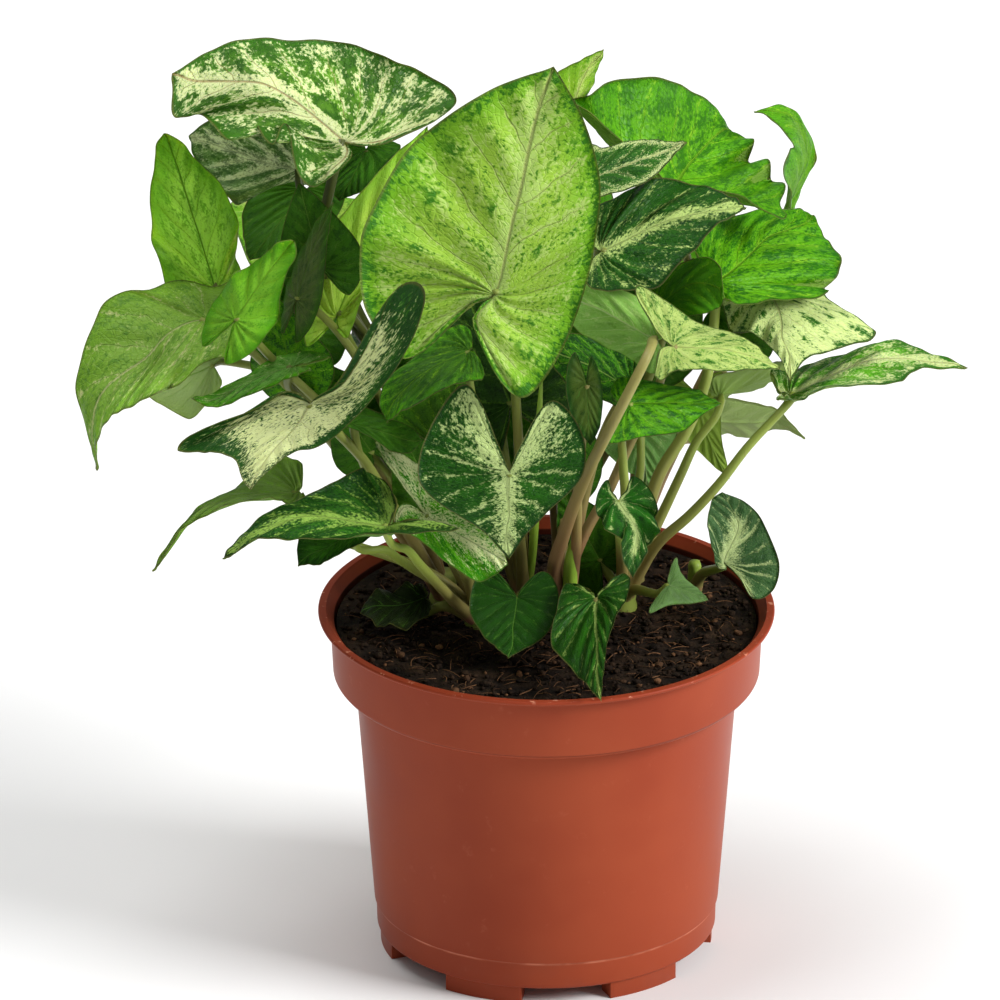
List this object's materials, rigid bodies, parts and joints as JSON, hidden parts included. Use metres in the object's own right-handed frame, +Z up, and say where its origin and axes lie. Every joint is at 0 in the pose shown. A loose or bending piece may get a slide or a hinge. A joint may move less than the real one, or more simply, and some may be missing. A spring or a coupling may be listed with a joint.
{
  "type": "potted plant",
  "caption": "Potted houseplant: variegated arrowhead leaves on slender stalks standing in peat in a round, tapered nursery pot with a wide collar and short feet.",
  "frame": {"origin": "on the standing surface under the middle of the whole plant's box; the pot's own axis is 5.8 mm to +X and 23.6 mm to -Y of it", "axes": "+Z up along the pot's axis, -Y towards the front view, +X to that view's right"},
  "size_m": [0.2339, 0.1871, 0.2556],
  "materials": {
    "pot_plastic": "satin",
    "soil_peat": "matte",
    "leaf_light": "satin",
    "leaf_bright": "satin",
    "leaf_dark": "satin",
    "leaf_cream": "satin",
    "leaf_grey": "satin",
    "leaf_stalk": "satin"
  },
  "bodies": {
    "root": {"pot": "pot_plastic", "soil": "soil_peat", "leaf_crest": "leaf_cream", "leaf_face": "leaf_light", "leaf_spire": "leaf_light", "leaf_sail": "leaf_bright", "leaf_speckle": "leaf_cream", "leaf_dark_long": "leaf_dark", "leaf_broad": "leaf_bright", "leaf_hook": "leaf_bright", "leaf_bat": "leaf_cream", "leaf_far_right": "leaf_bright", "leaf_pale_right": "leaf_grey", "leaf_under_right": "leaf_grey", "leaf_spear": "leaf_grey", "leaf_elbow": "leaf_bright", "leaf_bird": "leaf_cream", "leaf_heart_front": "leaf_dark", "leaf_twist": "leaf_cream", "leaf_left_droop": "leaf_bright", "leaf_left_tall": "leaf_bright", "leaf_left_under": "leaf_grey", "leaf_left_sliver": "leaf_bright", "leaf_curl": "leaf_bright", "leaf_left_tail": "leaf_bright", "leaf_long_left": "leaf_bright", "leaf_hanging": "leaf_dark", "leaf_patchwork": "leaf_bright", "leaf_low_heart": "leaf_dark", "leaf_arrow": "leaf_dark", "leaf_small_heart": "leaf_dark", "leaf_oval": "leaf_dark", "leaf_triangle": "leaf_grey", "leaf_on_soil": "leaf_dark", "leaf_stripe": "leaf_grey", "leaf_inner_dark": "leaf_dark", "leaf_band": "leaf_bright", "leaf_tucked": "leaf_dark", "leaf_arch": "leaf_dark", "leaf_dark_end": "leaf_dark", "leaf_olive": "leaf_grey", "leaf_lattice": "leaf_dark", "leaf_dart": "leaf_bright", "leaf_glow": "leaf_bright", "leaf_loop": "leaf_bright", "leaf_rear_high": "leaf_bright", "leaf_rear_left_high": "leaf_bright", "leaf_rear_right_high": "leaf_bright", "leaf_rear_mid": "leaf_dark", "leaf_rear_left_mid": "leaf_dark", "leaf_rear_right_mid": "leaf_dark", "stalks_left": "leaf_stalk", "stalks_front_left": "leaf_stalk", "stalks_centre": "leaf_stalk", "stalks_front": "leaf_stalk", "stalks_right": "leaf_stalk", "stalks_back": "leaf_stalk", "stalks_back_left": "leaf_stalk", "stalks_back_right": "leaf_stalk", "stalks_small_right": "leaf_stalk"}
  },
  "joints": []
}
